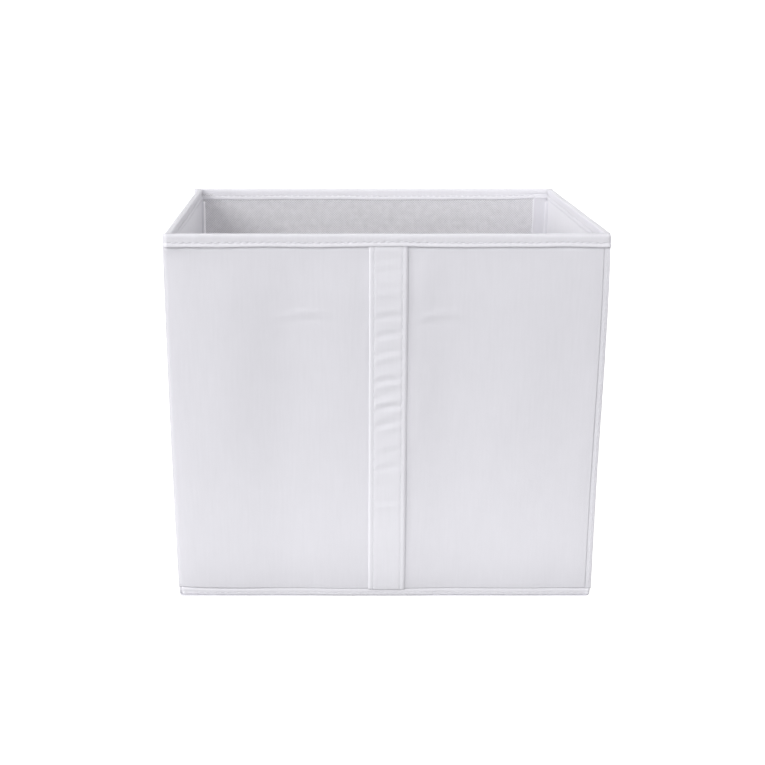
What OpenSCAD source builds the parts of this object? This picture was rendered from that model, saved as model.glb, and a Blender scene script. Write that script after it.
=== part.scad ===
// Collapsible fabric storage cube. Board-stiffened fabric walls are hinged on their
// seams: each side wall has an upright crease, and folds inwards between the front and
// back walls. The rim is bound with tape, a pull strap runs down the front wall, the
// bottom is plain cloth, and a loose covered board lies on it.

/* [Box] */
// Overall width, over the rim binding
box_w = 340; // [280:5:380]
// Overall depth, over the rim binding and the pull strap
box_d = 270; // [220:5:330]
// Overall height, floor to the top of the rim
box_h = 300; // [250:5:360]

/* [Walls] */
// Thickness of the outer fabric
fabric_t = 0.6; // [0.4:0.1:0.8]
// Thickness of the stiffening board
board_t = 2; // [1.5:0.1:2.5]
// Thickness of the lining
lining_t = 0.6; // [0.4:0.1:0.8]
// Boardless margin round each board, where the two fabrics are sewn together
board_margin = 4; // [3:0.5:6]

/* [Rim binding] */
// Finished height of the binding tape
binding_h = 10; // [8:1:14]
// Thickness of one leg of the binding tape
binding_t = 0.8; // [0.6:0.1:1]
// Height of the stitch line above the lower edge of the binding
rim_stitch_z = 3; // [2:0.5:4]

/* [Seams and creases] */
// Height above the floor of the seam that joins the walls to the bottom
bottom_seam_h = 5.5; // [5.5:0.5:8]
// Thickness of the bottom fabric
floor_t = 0.6; // [0.4:0.1:0.8]
// Gap between the two halves of a side wall, at the crease
crease_gap = 0.8; // [0.6:0.1:1.5]
// Width of the side fabric turned onto the inside of the front and back walls
facing_w = 14; // [10:1:18]
// Thickness of the turned side fabric
facing_t = 0.5; // [0.3:0.1:0.6]

/* [Pull strap] */
// Width of the strap
strap_w = 30; // [25:1:40]
// Thickness of the strap
strap_t = 1.4; // [1:0.1:2]
// How far the middle of the strap stands off the front wall
strap_bow = 1; // [0:0.1:2]
// Distance of each stitch line from the strap's edge
strap_stitch_in = 4; // [3:0.5:5]

/* [Base insert] */
// Thickness of the loose base board
insert_board_t = 2.4; // [1.5:0.1:2.6]
// Thickness of the fabric round the base board
insert_cover_t = 0.6; // [0.4:0.1:0.6]
// Gap left all round the insert
insert_clear = 1.5; // [1:0.5:4]

/* [Hidden] */
$fn = 32;

white = [0.92, 0.92, 0.94];
thread_white = [0.97, 0.97, 0.98];
lining_grey = [0.84, 0.84, 0.86];
board_brown = [0.62, 0.55, 0.46];

wall_t = fabric_t + board_t + lining_t;
edge_t = wall_t + 2 * binding_t;           // full thickness at the rim and at the corners
fold_gap = 0.25;                           // from each hinge line to the faces beside it
wall_z = bottom_seam_h;
wall_top = box_h - binding_t;
binding_z = box_h - binding_h;
strap_proud = strap_t + strap_bow - binding_t;
front_y = -box_d / 2 + strap_proud;        // outer face of the front rim
back_y = box_d / 2;                        // outer face of the back rim
crease_y = (front_y + back_y) / 2;
front_len = box_w - 2 * edge_t;            // between the corner seams
half_len = (back_y - front_y) / 2 - edge_t - 2 * fold_gap - crease_gap / 2;
thread_w = 0.5;
thread_d = 0.3;
edge_r = 1.2;
bump_w = strap_w + 3;                      // where the binding rises over the strap
strap_tuck = 6;                            // length of strap under the binding
strap_bottom = bottom_seam_h + 0.5;
strap_steps = 24;
insert_gap = 0.3;                          // between the insert and the bottom fabric
insert_z = floor_t + insert_gap;
insert_w = box_w - 2 * (edge_t + insert_clear);
insert_d = back_y - front_y - 2 * (edge_t + insert_clear);
insert_stitch_in = 6;

// ---- one stiffened wall panel, standing on X, its outer face towards -Y ----

module outer_fabric(len) {
    color(white)
        translate([0, binding_t, wall_z])
            cube([len, fabric_t, wall_top - wall_z]);
}

module board(len) {
    color(board_brown)
        translate([board_margin, binding_t + fabric_t, wall_z + board_margin])
            cube([len - 2 * board_margin, board_t, wall_top - wall_z - 2 * board_margin]);
}

module lining(len, tint) {
    color(tint)
        translate([0, binding_t + fabric_t + board_t, wall_z])
            cube([len, lining_t, wall_top - wall_z]);
}

// Outline across the rim, from the lower edge of the binding up, with a rounded top
module rim_outline() {
    square([edge_t, binding_h - edge_r]);
    translate([edge_r, 0])
        square([edge_t - 2 * edge_r, binding_h]);
    for (x = [edge_r, edge_t - edge_r])
        translate([x, binding_h - edge_r])
            circle(edge_r);
}

// The tape alone: the same outline with the room for the wall taken out
module binding_outline() {
    difference() {
        rim_outline();
        translate([binding_t, -1])
            square([wall_t, binding_h - binding_t + 1]);
    }
}

module thread_line_x(x0, len, y, z) {
    translate([x0, y, z])
        cube([len, thread_d, thread_w]);
}

// The two stitch lines of the rim, let into both faces of the binding
module rim_threads(len) {
    z = binding_z + rim_stitch_z;
    thread_line_x(0, len, 0, z);
    thread_line_x(0, len, edge_t - thread_d, z);
}

module rim_binding(len) {
    color(white)
        difference() {
            translate([0, 0, binding_z])
                rotate([90, 0, 90])
                    linear_extrude(len)
                        binding_outline();
            translate([-1, 0, 0])
                rim_threads(len + 2);
        }
}

module stitching(len) {
    color(thread_white)
        rim_threads(len);
}

// The sewn edge under a wall, standing on the bottom fabric, its outer edges rounded
module bottom_seam(len) {
    color(white)
        rotate([90, 0, 90])
            linear_extrude(len)
                union() {
                    translate([edge_r, floor_t])
                        square([edge_t - edge_r, bottom_seam_h - floor_t]);
                    translate([0, floor_t + edge_r])
                        square([edge_t, bottom_seam_h - floor_t - 2 * edge_r]);
                    for (z = [floor_t + edge_r, bottom_seam_h - edge_r])
                        translate([edge_r, z])
                            circle(edge_r);
                }
}

// ---- corners ----

// The end of the binding, folded over itself on top of a corner seam
module binding_corner() {
    translate([0, 0, binding_z])
        rotate([90, 0, 90])
            linear_extrude(edge_t)
                rim_outline();
}

// Upright seam with its outer corner, at the origin, rounded
module corner_seam() {
    color(white)
        translate([0, 0, wall_z])
            linear_extrude(binding_z - wall_z)
                union() {
                    translate([edge_r, 0])
                        square([edge_t - edge_r, edge_t]);
                    translate([0, edge_r])
                        square([edge_t, edge_t - edge_r]);
                    translate([edge_r, edge_r])
                        circle(edge_r);
                }
}

// Side fabric turned onto the lining, starting at the corner seam
module facing() {
    color(white)
        translate([0, binding_t + wall_t, wall_z])
            cube([facing_w, facing_t, binding_z - wall_z]);
}

// ---- pull strap ----

// Height of point i up the strap, and its distance in front of the wall there
function strap_z(i) = strap_bottom + (binding_z - strap_bottom) * i / strap_steps;
function strap_off(i) = strap_bow * sin(180 * i / strap_steps);

// A strip that follows the bow of the strap, lying between two distances from its back
module strap_strip(x, w, near, far, first, last) {
    translate([x - w / 2, 0, 0])
        rotate([90, 0, 90])
            linear_extrude(w)
                polygon(concat(
                    [for (i = [first:last]) [-strap_off(i) - near, strap_z(i)]],
                    [for (i = [last:-1:first]) [-strap_off(i) - far, strap_z(i)]]
                ));
}

module strap_threads(far) {
    for (x = [-1, 1] * (strap_w / 2 - strap_stitch_in))
        strap_strip(x, thread_w, strap_t - thread_d, far, 1, strap_steps - 1);
}

// The end of the strap that is sewn in under the binding
module strap_tab() {
    translate([-strap_w / 2, -strap_t, binding_z - 1])
        cube([strap_w, strap_t, strap_tuck + 1]);
}

// Y = 0 is the face of the front wall's outer fabric
module at_front_face() {
    translate([0, front_y + binding_t, 0])
        children();
}

// ---- the panels, each placed from its own hinge line ----

module in_front() {
    translate([-front_len / 2, front_y, 0])
        children();
}

module at_back() {
    translate([front_len / 2, back_y, 0])
        rotate([0, 0, 180])
            children();
}

// A side half starts at the crease (rear) or at the corner (front); side is -1 left, 1 right
module side_half(side, rear) {
    start = rear ? crease_y + crease_gap / 2 : crease_y - crease_gap / 2 - half_len;
    if (side < 0)
        translate([-box_w / 2, start + half_len, 0])
            rotate([0, 0, -90])
                children();
    else
        translate([box_w / 2, start, 0])
            rotate([0, 0, 90])
                children();
}

module at_corner(side, rear) {
    mirror([side < 0 ? 0 : 1, 0, 0])
        translate([-box_w / 2, rear ? back_y : front_y, 0])
            mirror([0, rear ? 1 : 0, 0])
                children();
}

// ---- front wall ----

module front_outer_fabric() { in_front() outer_fabric(front_len); }
module front_board() { in_front() board(front_len); }
module front_lining() { in_front() lining(front_len, lining_grey); }

module front_rim_binding() {
    color(white)
        difference() {
            union() {
                in_front() rim_binding(front_len);
                for (side = [-1, 1])
                    at_corner(side, false) binding_corner();
                translate([-bump_w / 2, front_y - strap_t, binding_z])
                    cube([bump_w, strap_t + thread_d, binding_h - edge_r]);
            }
            at_front_face() strap_tab();
            translate([-bump_w / 2 - 1, front_y - strap_t - 1, binding_z + rim_stitch_z])
                cube([bump_w + 2, 1 + thread_d, thread_w]);
        }
}

module front_stitching() {
    color(thread_white) {
        in_front() {
            for (x = [0, (front_len + bump_w) / 2])
                thread_line_x(x, (front_len - bump_w) / 2, 0, binding_z + rim_stitch_z);
            thread_line_x(0, front_len, edge_t - thread_d, binding_z + rim_stitch_z);
        }
        thread_line_x(-bump_w / 2, bump_w, front_y - strap_t, binding_z + rim_stitch_z);
        at_front_face() strap_threads(strap_t);
    }
}

module front_left_corner_seam() { at_corner(-1, false) corner_seam(); }
module front_right_corner_seam() { at_corner(1, false) corner_seam(); }
module front_left_facing() { in_front() facing(); }
module front_right_facing() {
    in_front() translate([front_len - facing_w, 0, 0]) facing();
}

module front_bottom_seam() { translate([-box_w / 2, front_y, 0]) bottom_seam(box_w); }

module handle_strap() {
    color(white)
        at_front_face()
            difference() {
                union() {
                    strap_strip(0, strap_w, 0, strap_t, 0, strap_steps);
                    strap_tab();
                }
                strap_threads(strap_t + 1);
            }
}

// ---- back wall ----

module back_outer_fabric() { at_back() outer_fabric(front_len); }
module back_board() { at_back() board(front_len); }
module back_lining() { at_back() lining(front_len, lining_grey); }
module back_stitching() { at_back() stitching(front_len); }

module back_rim_binding() {
    color(white)
        union() {
            at_back() rim_binding(front_len);
            for (side = [-1, 1])
                at_corner(side, true) binding_corner();
        }
}

module back_left_corner_seam() { at_corner(-1, true) corner_seam(); }
module back_right_corner_seam() { at_corner(1, true) corner_seam(); }
module back_bottom_seam() {
    translate([box_w / 2, back_y, 0]) rotate([0, 0, 180]) bottom_seam(box_w);
}
module back_right_facing() { at_back() facing(); }
module back_left_facing() {
    at_back() translate([front_len - facing_w, 0, 0]) facing();
}

// ---- bottom ----

module bottom_fabric() {
    color(white)
        translate([-box_w / 2, front_y, 0])
            cube([box_w, back_y - front_y, floor_t]);
}

// ---- loose base insert ----

module centred_plate(w, d, z, t) {
    translate([-w / 2, crease_y - d / 2, z])
        cube([w, d, t]);
}

module insert_board() {
    color(board_brown)
        centred_plate(insert_w - 2 * insert_cover_t, insert_d - 2 * insert_cover_t,
                      insert_z + insert_cover_t, insert_board_t);
}

module insert_bottom_cover() {
    color(lining_grey)
        centred_plate(insert_w - 2 * insert_cover_t, insert_d - 2 * insert_cover_t,
                      insert_z, insert_cover_t);
}

module insert_threads(over) {
    z = insert_z + insert_board_t + 2 * insert_cover_t - thread_d;
    difference() {
        centred_plate(insert_w - 2 * insert_stitch_in, insert_d - 2 * insert_stitch_in,
                      z, thread_d + over);
        centred_plate(insert_w - 2 * (insert_stitch_in + thread_w),
                      insert_d - 2 * (insert_stitch_in + thread_w), z - 1, 3);
    }
}

// The upper cover wraps over the edges of the board
module insert_top_cover() {
    color(lining_grey)
        difference() {
            centred_plate(insert_w, insert_d, insert_z, insert_board_t + 2 * insert_cover_t);
            centred_plate(insert_w - 2 * insert_cover_t, insert_d - 2 * insert_cover_t,
                          insert_z - 1, insert_board_t + insert_cover_t + 1);
            insert_threads(1);
        }
}

module insert_stitching() { color(thread_white) insert_threads(0); }

// ---- everything ----

// One layer of a side half, chosen by its name
module side_layer(layer) {
    if (layer == "outer_fabric") outer_fabric(half_len);
    if (layer == "board") board(half_len);
    if (layer == "lining") lining(half_len, white);
    if (layer == "rim_binding") rim_binding(half_len);
    if (layer == "bottom_seam") bottom_seam(half_len);
    if (layer == "stitching") stitching(half_len);
}

for (side = [-1, 1], rear = [true, false],
     layer = ["outer_fabric", "board", "lining", "rim_binding", "bottom_seam", "stitching"]) {
    name = str(side < 0 ? "left_" : "right_", rear ? "rear_" : "front_", layer);
    side_half(side, rear) side_layer(layer);
}

front_outer_fabric();
front_board();
front_lining();
front_rim_binding();
front_left_corner_seam();
front_right_corner_seam();
front_left_facing();
front_right_facing();
front_bottom_seam();
handle_strap();
front_stitching();
back_outer_fabric();
back_board();
back_lining();
back_rim_binding();
back_left_corner_seam();
back_right_corner_seam();
back_left_facing();
back_right_facing();
back_bottom_seam();
back_stitching();
bottom_fabric();
insert_board();
insert_top_cover();
insert_bottom_cover();
insert_stitching();
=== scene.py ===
"""Looks of the collapsible fabric storage cube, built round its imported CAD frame.

Lengths are in millimetres until a mesh is made. Each wall has its own coordinates: u runs
along the wall, e is the depth below the outer face of its rim, and z is the height.
"""

import math

import bpy
import numpy as np
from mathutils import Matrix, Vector


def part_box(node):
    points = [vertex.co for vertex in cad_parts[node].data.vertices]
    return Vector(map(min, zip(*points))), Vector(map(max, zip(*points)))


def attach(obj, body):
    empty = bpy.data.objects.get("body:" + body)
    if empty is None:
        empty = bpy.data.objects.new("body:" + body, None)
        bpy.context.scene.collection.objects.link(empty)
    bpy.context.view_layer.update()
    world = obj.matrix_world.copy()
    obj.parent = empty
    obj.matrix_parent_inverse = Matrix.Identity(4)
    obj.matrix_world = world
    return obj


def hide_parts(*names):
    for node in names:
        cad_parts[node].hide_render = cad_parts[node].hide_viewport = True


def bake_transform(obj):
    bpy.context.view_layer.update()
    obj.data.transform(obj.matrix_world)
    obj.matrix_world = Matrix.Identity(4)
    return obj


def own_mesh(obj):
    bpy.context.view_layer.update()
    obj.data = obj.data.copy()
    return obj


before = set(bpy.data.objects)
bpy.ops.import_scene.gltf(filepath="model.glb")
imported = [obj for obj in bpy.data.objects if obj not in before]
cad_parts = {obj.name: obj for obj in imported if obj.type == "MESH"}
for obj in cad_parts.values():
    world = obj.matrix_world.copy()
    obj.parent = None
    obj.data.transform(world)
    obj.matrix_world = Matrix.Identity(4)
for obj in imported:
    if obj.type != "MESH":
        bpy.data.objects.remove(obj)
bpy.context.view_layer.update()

M = 1000.0                      # millimetres in a metre


def box_mm(node):
    """The lowest and highest corner of a CAD node, in millimetres."""
    low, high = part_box(node)
    return np.array(low) * M, np.array(high) * M


# ---- sizes, from the frame ----

front_low, front_high = box_mm("front_bottom_seam")
LEFT_X, RIGHT_X = front_low[0], front_high[0]
FRONT_Y, BACK_Y = front_low[1], box_mm("back_bottom_seam")[1][1]
EDGE_T = front_high[1] - front_low[1]          # full thickness at the rim and the corners
rim_box = box_mm("back_rim_binding")
BINDING_Z, TOP_Z = rim_box[0][2], rim_box[1][2]
HEM_LOW, HEM_Z = front_low[2], front_high[2] + 1.6      # the cloth's fold shows above the seam
side_rear, side_front = box_mm("left_rear_bottom_seam"), box_mm("left_front_bottom_seam")
SIDE_REAR_Y, SIDE_FRONT_Y = side_rear[1][1], side_front[0][1]
CREASE_Y = (side_rear[0][1] + side_front[1][1]) / 2
CREASE_HALF = (side_rear[0][1] - side_front[1][1]) / 2
cloth_low = box_mm("front_outer_fabric")[0]
board_low, board_high = box_mm("front_board")
CLOTH_E = cloth_low[1] - FRONT_Y               # depth of the outer cloth's face
BOARD_E, BOARD_IN_E = board_low[1] - FRONT_Y, board_high[1] - FRONT_Y
LINING_E = box_mm("front_lining")[1][1] - FRONT_Y     # depth of the lining's face
facing_box = box_mm("front_left_facing")
FACING_W = facing_box[1][0] - facing_box[0][0]
strap_low, strap_high = box_mm("handle_strap")
STRAP_HALF = (strap_high[0] - strap_low[0]) / 2
STRAP_Z0 = strap_low[2]
insert_low, insert_high = box_mm("insert_top_cover")
MARGIN = board_low[0] - cloth_low[0]           # cloth with no board in it, at each seam

STITCH_PITCH = 5.4
RIM_STITCH_Z = BINDING_Z + 3.5


# ---- small tools ----

def grid(*axes):
    """Arrays of every combination of the values along the axes."""
    return np.meshgrid(*axes, indexing="ij")


def smooth(t):
    """0 below 0, 1 above 1, and a smooth step between them."""
    t = np.clip(t, 0, 1)
    return t * t * (3 - 2 * t)


def bump(x, centre, half_width):
    """A smooth hill, 1 at its centre and 0 from half_width away."""
    return smooth(1 - np.abs(np.asarray(x, float) - centre) / half_width)


def ripples(a, b, seed, size):
    """Smooth unevenness, about -1 to 1: waves in random directions, about size long."""
    rng = np.random.default_rng(seed)
    total, count = 0.0, 9
    for _ in range(count):
        turn, phase = rng.uniform(0, math.tau, 2)
        length = size * rng.uniform(0.7, 1.7)
        total += np.sin(math.tau * (a * math.cos(turn) + b * math.sin(turn)) / length + phase)
    return total / count * 1.8


def spaced(start, end, step, fine=0.8, zone=14.0):
    """Numbers from start to end, fine apart near both ends and step apart between."""
    def ease(x):
        return fine + (step - fine) * smooth(min(x - start, end - x) / zone)
    found = [start]
    while found[-1] < end:
        found.append(found[-1] + ease(found[-1] + fine / 2))
    found = np.array(found)
    return start + (found - start) * (end - start) / (found[-1] - start)


def creased(values, crease):
    """The same numbers, with a close-set run of them across the crease."""
    kept = values[np.abs(values - crease) > CREASE_HALF + 0.5]
    run = np.r_[np.linspace(-CREASE_HALF, CREASE_HALF, 17), -CREASE_HALF - 0.35, CREASE_HALF + 0.35]
    return np.sort(np.r_[kept, crease + run])


def settle(p, wall):
    """The cube as it stands: its stitched corners lean and bow a little between floor and rim."""
    x, y, z = p[..., 0], p[..., 1], p[..., 2]
    t = np.clip(z / BINDING_Z, 0, 1)
    at_left, at_right = smooth(1 - (x - LEFT_X) / 150), smooth(1 - (RIGHT_X - x) / 150)
    if wall == "front":
        left = 2.0 - 3.6 * t - 3.0 * t * (1 - t)
        right = 1.0 * (1 - t) ** 3 + 0.8 * bump(t, 0.72, 0.45) - 0.4 * smooth((t - 0.9) / 0.1)
    elif wall == "back":
        left, right = 0.5 - 1.1 * t - 2.4 * smooth((t - 0.84) / 0.16), 1.0 * t - 0.3
    else:                       # the foot of the left wall, where it meets the front
        near_front = smooth(1 - (y - FRONT_Y) / 110)
        left = 1.3 * np.clip(1 - t / 0.45, 0, 1) * near_front
        right = 0.4 * np.clip(1 - t / 0.4, 0, 1) * near_front
    moved = p.copy()
    moved[..., 0] += at_left * left + at_right * right
    if wall == "front":         # the strap hangs a little to the right
        moved[..., 0] += bump(x, 0, 150) * (0.6 + 2.2 * (1 - t))
    return moved


class Wall:
    """Turns a wall's own u, e, z into the frame's x, y, z."""

    def __init__(self, name, start, along, out, length):
        self.name = name
        self.start = np.array([*start, 0.0])
        self.along, self.out = np.array([*along, 0.0]), np.array([*out, 0.0])
        self.length = length

    def place(self, u, e, z, settled_as=None):
        u, e, z = (np.asarray(value, float) for value in np.broadcast_arrays(u, e, z))
        p = self.start + u[..., None] * self.along - e[..., None] * self.out
        p[..., 2] += z
        return settle(p, settled_as or self.name)


WIDTH = RIGHT_X - LEFT_X
SIDE = SIDE_REAR_Y - SIDE_FRONT_Y
walls = {
    "front": Wall("front", (LEFT_X, FRONT_Y), (1, 0), (0, -1), WIDTH),
    "back": Wall("back", (RIGHT_X, BACK_Y), (-1, 0), (0, 1), WIDTH),
    "left": Wall("left", (LEFT_X, SIDE_REAR_Y), (0, -1), (-1, 0), SIDE),
    "right": Wall("right", (RIGHT_X, SIDE_FRONT_Y), (0, 1), (1, 0), SIDE),
}
CREASE_U = {"left": SIDE_REAR_Y - CREASE_Y, "right": CREASE_Y - SIDE_FRONT_Y}
MID_U = WIDTH / 2
ORDER = {"front": 1, "back": 2, "left": 3, "right": 4}      # added to the seeds


# ---- meshes ----

def add_object(name, data):
    """An object in the scene that holds a mesh, a light or a camera."""
    found = bpy.data.objects.new(name, data)
    bpy.context.scene.collection.objects.link(found)
    return found


def make_piece(name, points, faces, cloth, material):
    """A mesh object from points in mm. cloth holds each point's place on its cloth, in mm."""
    mesh = bpy.data.meshes.new(name)
    mesh.from_pydata((np.asarray(points) / M).tolist(), [], faces)
    mesh.attributes.new("cloth", "FLOAT_VECTOR", "POINT")
    mesh.attributes["cloth"].data.foreach_set("vector", np.asarray(cloth, np.float32).ravel())
    mesh.polygons.foreach_set("use_smooth", [True] * len(mesh.polygons))
    mesh.materials.append(material)
    mesh.update()
    return add_object(name, mesh)


def grid_faces(rows, columns, first=0, flip=False):
    """Quads over a grid of points that are numbered along its columns first."""
    i, j = grid(np.arange(rows - 1), np.arange(columns - 1))
    a = first + i * columns + j
    quads = np.stack([a, a + columns, a + columns + 1, a + 1], -1).reshape(-1, 4)
    return (quads[:, ::-1] if flip else quads).tolist()


def closed_sheet(name, face, back, u, v, material):
    """A sheet between two grids of points, closed along its edge. u and v are places on the cloth."""
    rows, columns = face.shape[:2]
    second = rows * columns
    faces = grid_faces(rows, columns) + grid_faces(rows, columns, second, flip=True)
    index = np.arange(second).reshape(rows, columns)
    edge = np.r_[index[:, 0], index[-1, 1:], index[-2::-1, -1], index[0, -2:0:-1]]
    beside = np.roll(edge, -1)
    faces += np.stack([beside, edge, edge + second, beside + second], -1).tolist()
    points = np.concatenate([face.reshape(-1, 3), back.reshape(-1, 3)])
    cloth = np.stack([u, v, 0 * u], -1).reshape(-1, 3)
    return make_piece(name, points, faces, np.tile(cloth, (2, 1)), material)


def slab(name, wall, u, z, outer_e, inner_e, material):
    """A closed sheet along a wall, between two depths given at each (u, z)."""
    uu, zz = grid(u, z)
    return closed_sheet(name, wall.place(uu, outer_e, zz), wall.place(uu, inner_e, zz), uu, zz, material)


def tube_faces(stations, count):
    """Faces round a closed bar of stations rings with count points each, and its two flat ends."""
    here = np.arange(count)
    beside = (here + 1) % count
    strip = np.stack([here, beside, beside + count, here + count], -1)
    faces = [face for i in range(stations - 1) for face in (strip + i * count).tolist()]
    return faces + [here[::-1].tolist(), (here + (stations - 1) * count).tolist()]


def sweep(name, rings, along, material):
    """A closed bar through rings of points, given as stations x points x 3, with flat ends."""
    step = np.linalg.norm(np.diff(rings[0], axis=0, append=rings[0][:1]), axis=1)
    round_it = np.r_[0, np.cumsum(step)[:-1]]
    cloth = np.stack(np.broadcast_arrays(np.asarray(along)[:, None], round_it[None, :], 0.0), -1)
    faces = tube_faces(*rings.shape[:2])
    piece = make_piece(name, rings.reshape(-1, 3), faces, cloth.reshape(-1, 3), material)
    for end in piece.data.polygons[-2:]:
        end.use_smooth = False
    return piece


def bar_stations(wall, step, crease=None, squareness=None):
    """Stations of a bar along a wall: (distance, centre u, centre e, direction u, direction e).

    A front or back wall's bar turns both corners, round the inner edge of the rim. A larger
    squareness gives a sharper corner."""
    if crease is not None:
        u = creased(spaced(0, wall.length, step, fine=step), crease)
        return [(s, s, EDGE_T, 0.0, -1.0) for s in u]

    def corner(turn, power, u, way):
        c, s = math.cos(turn) ** (2 / power), math.sin(turn) ** (2 / power)
        return u + way * turn * EDGE_T, u, EDGE_T, way * s, -c

    end = wall.length - EDGE_T
    turns = np.linspace(0, math.pi / 2, 9)[1:]
    return ([corner(turn, squareness[0], EDGE_T, -1) for turn in turns[::-1]]
            + [(u, u, EDGE_T, 0.0, -1.0) for u in spaced(EDGE_T, end, step, fine=step)]
            + [corner(turn, squareness[1], end, 1) for turn in turns])


def bar(name, wall, stations, profile, material):
    """Sweeps profile(distance), a closed ring of (e, z), along the stations."""
    rings = []
    for distance, centre_u, centre_e, du, de in stations:
        ring = profile(distance)
        reach = np.maximum(EDGE_T - ring[:, 0], 0.12)
        rings.append(wall.place(centre_u + du * reach, centre_e + de * reach, ring[:, 1]))
    return sweep(name, np.array(rings), [s[0] for s in stations], material)


# ---- materials ----

class Look:
    """The node tree of a material or world, and short ways to add nodes to it."""

    def __init__(self, owner, shader="Principled BSDF"):
        owner.use_nodes = True
        self.owner = owner
        self.nodes, self.links = owner.node_tree.nodes, owner.node_tree.links
        self.shader = self.nodes[shader]

    def feed(self, socket, value):
        """Sets a socket to a value, or links it to another socket."""
        if isinstance(value, bpy.types.NodeSocket):
            self.links.new(value, socket)
        else:
            socket.default_value = value

    def fill(self, node, **inputs):
        """Feeds a node's inputs by their names, with _ for each space."""
        for name, value in inputs.items():
            self.feed(node.inputs[name.replace("_", " ")], value)
        return node

    def set(self, **inputs):
        self.fill(self.shader, **inputs)

    def add(self, kind, settings=(), **inputs):
        """A new node with its settings and its inputs."""
        node = self.nodes.new("ShaderNode" + kind)
        for name, value in dict(settings).items():
            setattr(node, name, value)
        return self.fill(node, **inputs)

    def math(self, operation, *values):
        """A Math node fed with numbers or sockets; returns its output."""
        node = self.add("Math", {"operation": operation})
        for socket, value in zip(node.inputs, values):
            self.feed(socket, value)
        return node.outputs[0]

    def cloth_axes(self):
        """The cloth attribute's vector and its two directions, in mm."""
        place = self.add("Attribute", {"attribute_name": "cloth"}).outputs["Vector"]
        split = self.add("SeparateXYZ", Vector=place)
        return place, split.outputs[0], split.outputs[1]

    def noise(self, vector, scale, detail=3.0, rough=0.55):
        node = self.add("TexNoise", Vector=vector, Scale=scale, Detail=detail, Roughness=rough)
        return node.outputs["Fac"]

    def waves(self, axis, pitch):
        """A sine along an axis that repeats every pitch millimetres."""
        return self.math("SINE", self.math("MULTIPLY", axis, math.tau / pitch))

    def colours(self, share, colour_a, colour_b):
        """The base colour goes from colour_a to colour_b as share goes from 0 to 1."""
        mix = self.add("Mix", {"data_type": "RGBA"}, Factor=share, A=(*colour_a, 1), B=(*colour_b, 1))
        self.set(Base_Color=mix.outputs["Result"])

    def roughness(self, source, share, least):
        """The roughness is least where the source is 0, and share more where it is 1."""
        self.set(Roughness=self.math("MULTIPLY_ADD", source, share, least))

    def bumps(self, *layers):
        """Feeds (height, strength, distance in metres) bumps one after another to the shader."""
        below = {}
        for height, strength, distance in layers:
            node = self.add("Bump", Height=height, Strength=strength, Distance=distance, **below)
            below = {"Normal": node.outputs["Normal"]}
        self.set(**below)


def dimmed(colour, share):
    return tuple(c * share for c in colour)


def woven(name, colour, thread=0.42, weave=0.5):
    """Plain-woven cloth: crossing threads, a little slub and faint mottling."""
    look = Look(bpy.data.materials.new(name))
    place, across, up = look.cloth_axes()
    cross = look.math("MULTIPLY", look.waves(across, 2 * thread), look.waves(up, 2 * thread))
    fibre = look.noise(place, 2.2, detail=4)
    mottle = look.math("MULTIPLY", look.noise(place, 0.06, detail=5, rough=0.6), 0.4)
    stretched = look.add("VectorMath", {"operation": "MULTIPLY"}, Vector=place)
    stretched.inputs[1].default_value = (0.50, 0.035, 0)     # thick and thin threads run upwards
    share = look.math("MULTIPLY_ADD", look.noise(stretched.outputs[0], 1.0, detail=2), 0.6, mottle)
    look.colours(share, dimmed(colour, 0.930), dimmed(colour, 1.020))
    look.roughness(fibre, 0.12, 0.80)
    look.set(Specular_IOR_Level=0.25, Sheen_Weight=0.12, Sheen_Roughness=0.5)
    look.bumps((cross, weave, 0.00006), (fibre, 0.25, 0.00010))
    return look.owner


def nonwoven(name, colour, pitch=2.3):
    """Spun-bonded lining: matted fibres, pressed together in a grid of small diamonds."""
    look = Look(bpy.data.materials.new(name))
    place, across, up = look.cloth_axes()
    crossed = look.math("MULTIPLY", look.waves(across, pitch), look.waves(up, pitch))
    pressed = look.add("MapRange", {"interpolation_type": "SMOOTHSTEP"}, Value=crossed,
                       From_Min=0.1, From_Max=0.55).outputs[0]
    matted = look.noise(place, 1.1, detail=5, rough=0.7)
    blotch = look.math("MULTIPLY", look.noise(place, 0.16, detail=4, rough=0.6), 0.6)
    shade = look.math("MULTIPLY_ADD", pressed, 0.45, blotch)
    look.colours(shade, colour, dimmed(colour, 0.60))
    look.roughness(matted, 0.2, 0.68)
    look.set(Specular_IOR_Level=0.3)
    pit = look.math("MULTIPLY", pressed, -1.0)
    look.bumps((pit, 1.0, 0.00040), (matted, 0.6, 0.00025))
    return look.owner


def thread_material(name, colour):
    """Twisted sewing thread."""
    look = Look(bpy.data.materials.new(name))
    place, across, up = look.cloth_axes()
    twist = look.waves(look.math("MULTIPLY_ADD", up, 0.8, across), 0.55)
    mottle = look.noise(place, 0.8)
    look.colours(mottle, dimmed(colour, 0.93), colour)
    look.roughness(mottle, 0.2, 0.5)
    look.set(Sheen_Weight=0.2)
    look.bumps((twist, 0.6, 0.00008))
    return look.owner


def cardboard(name, colour, on_cad=False):
    """Grey-brown board with pulp flecks. A CAD node has no cloth attribute of its own."""
    look = Look(bpy.data.materials.new(name))
    if on_cad:
        metres = look.add("TexCoord").outputs["Object"]
        place = look.add("VectorMath", {"operation": "SCALE"}, Vector=metres, Scale=M).outputs[0]
    else:
        place = look.cloth_axes()[0]
    pulp = look.noise(place, 0.9, detail=6, rough=0.7)
    look.colours(pulp, dimmed(colour, 0.75), colour)
    look.roughness(pulp, 0.1, 0.85)
    look.bumps((pulp, 0.4, 0.0001))
    return look.owner


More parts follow.
